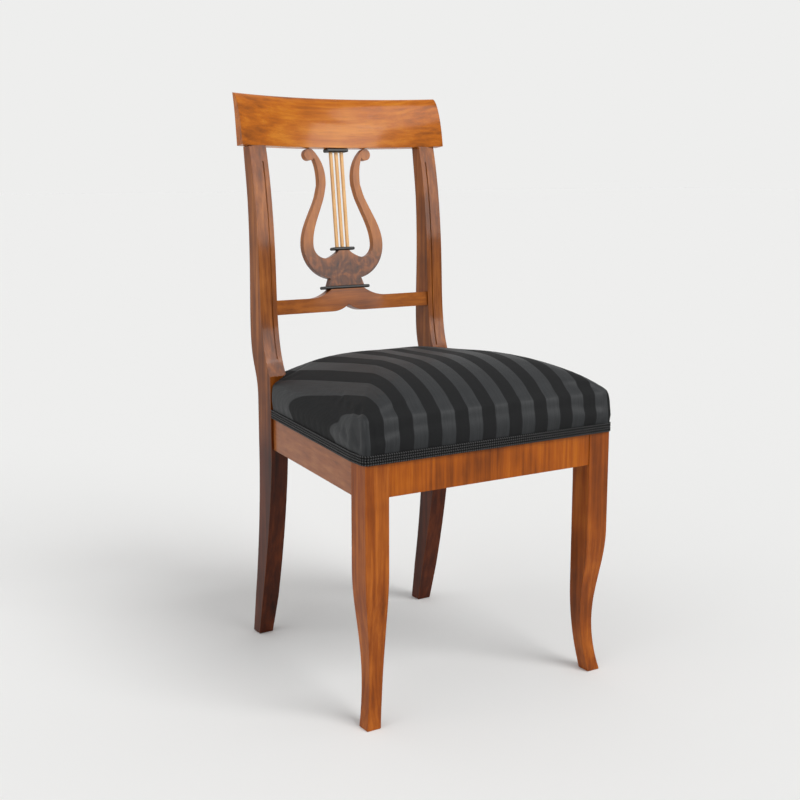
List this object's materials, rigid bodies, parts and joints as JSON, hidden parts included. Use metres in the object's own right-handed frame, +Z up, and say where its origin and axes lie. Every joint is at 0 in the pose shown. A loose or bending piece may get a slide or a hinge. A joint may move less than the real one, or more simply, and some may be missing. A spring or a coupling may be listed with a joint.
{
  "type": "side chair",
  "caption": "Wooden side chair: curved crest rail, lyre splat with strings, swept back legs, curved front legs and a stuffed seat in striped black cloth edged with braid.",
  "frame": {"origin": "on the floor, under the middle of the chair's box", "axes": "+Z is up, the chair faces -Y, +X is to the viewer's right seen from the front; the chair is symmetric about X"},
  "size_m": [0.4494, 0.4926, 0.9116],
  "materials": {
    "polished_wood": "French-polished, warm orange-brown, clear gloss",
    "lyre_wood": "polished, paler arms and a darker figured bowl",
    "pale_wood": "satin",
    "ebonised_wood": "ebonised, satin black",
    "plain_wood": "unfinished, sawn",
    "screw_steel": "dull steel",
    "webbing": "woven jute",
    "hessian": "open weave",
    "padding": "plain cotton",
    "seat_fabric": "black cloth, satin and matt stripes from front to back",
    "braid": "black woven braid",
    "dust_cloth": "thin black cloth"
  },
  "bodies": {
    "root": {"crest_rail": "polished_wood", "front_leg_left": "polished_wood", "front_leg_right": "polished_wood", "seat_rail_front": "polished_wood", "seat_rail_left": "polished_wood", "seat_rail_right": "polished_wood", "seat_rail_back": "polished_wood", "back_leg_left": "polished_wood", "back_leg_right": "polished_wood", "lower_back_rail": "polished_wood", "lyre_frame": "lyre_wood", "lyre_string_left": "pale_wood", "lyre_string_middle": "pale_wood", "lyre_string_right": "pale_wood", "lyre_top_collar": "ebonised_wood", "lyre_bridge": "ebonised_wood", "lyre_base_bar": "ebonised_wood", "corner_block_front_left": "plain_wood", "corner_block_front_right": "plain_wood", "corner_block_back_left": "plain_wood", "corner_block_back_right": "plain_wood", "lyre_dowels": "plain_wood", "corner_block_screws": "screw_steel", "webbing_lengthwise_left": "webbing", "webbing_lengthwise_middle": "webbing", "webbing_lengthwise_right": "webbing", "webbing_crosswise_front": "webbing", "webbing_crosswise_middle": "webbing", "webbing_crosswise_back": "webbing", "hessian": "hessian", "seat_pad": "padding", "seat_cover": "seat_fabric", "gimp_braid": "braid", "gimp_braid_back": "braid", "dust_cover": "dust_cloth"}
  },
  "joints": []
}
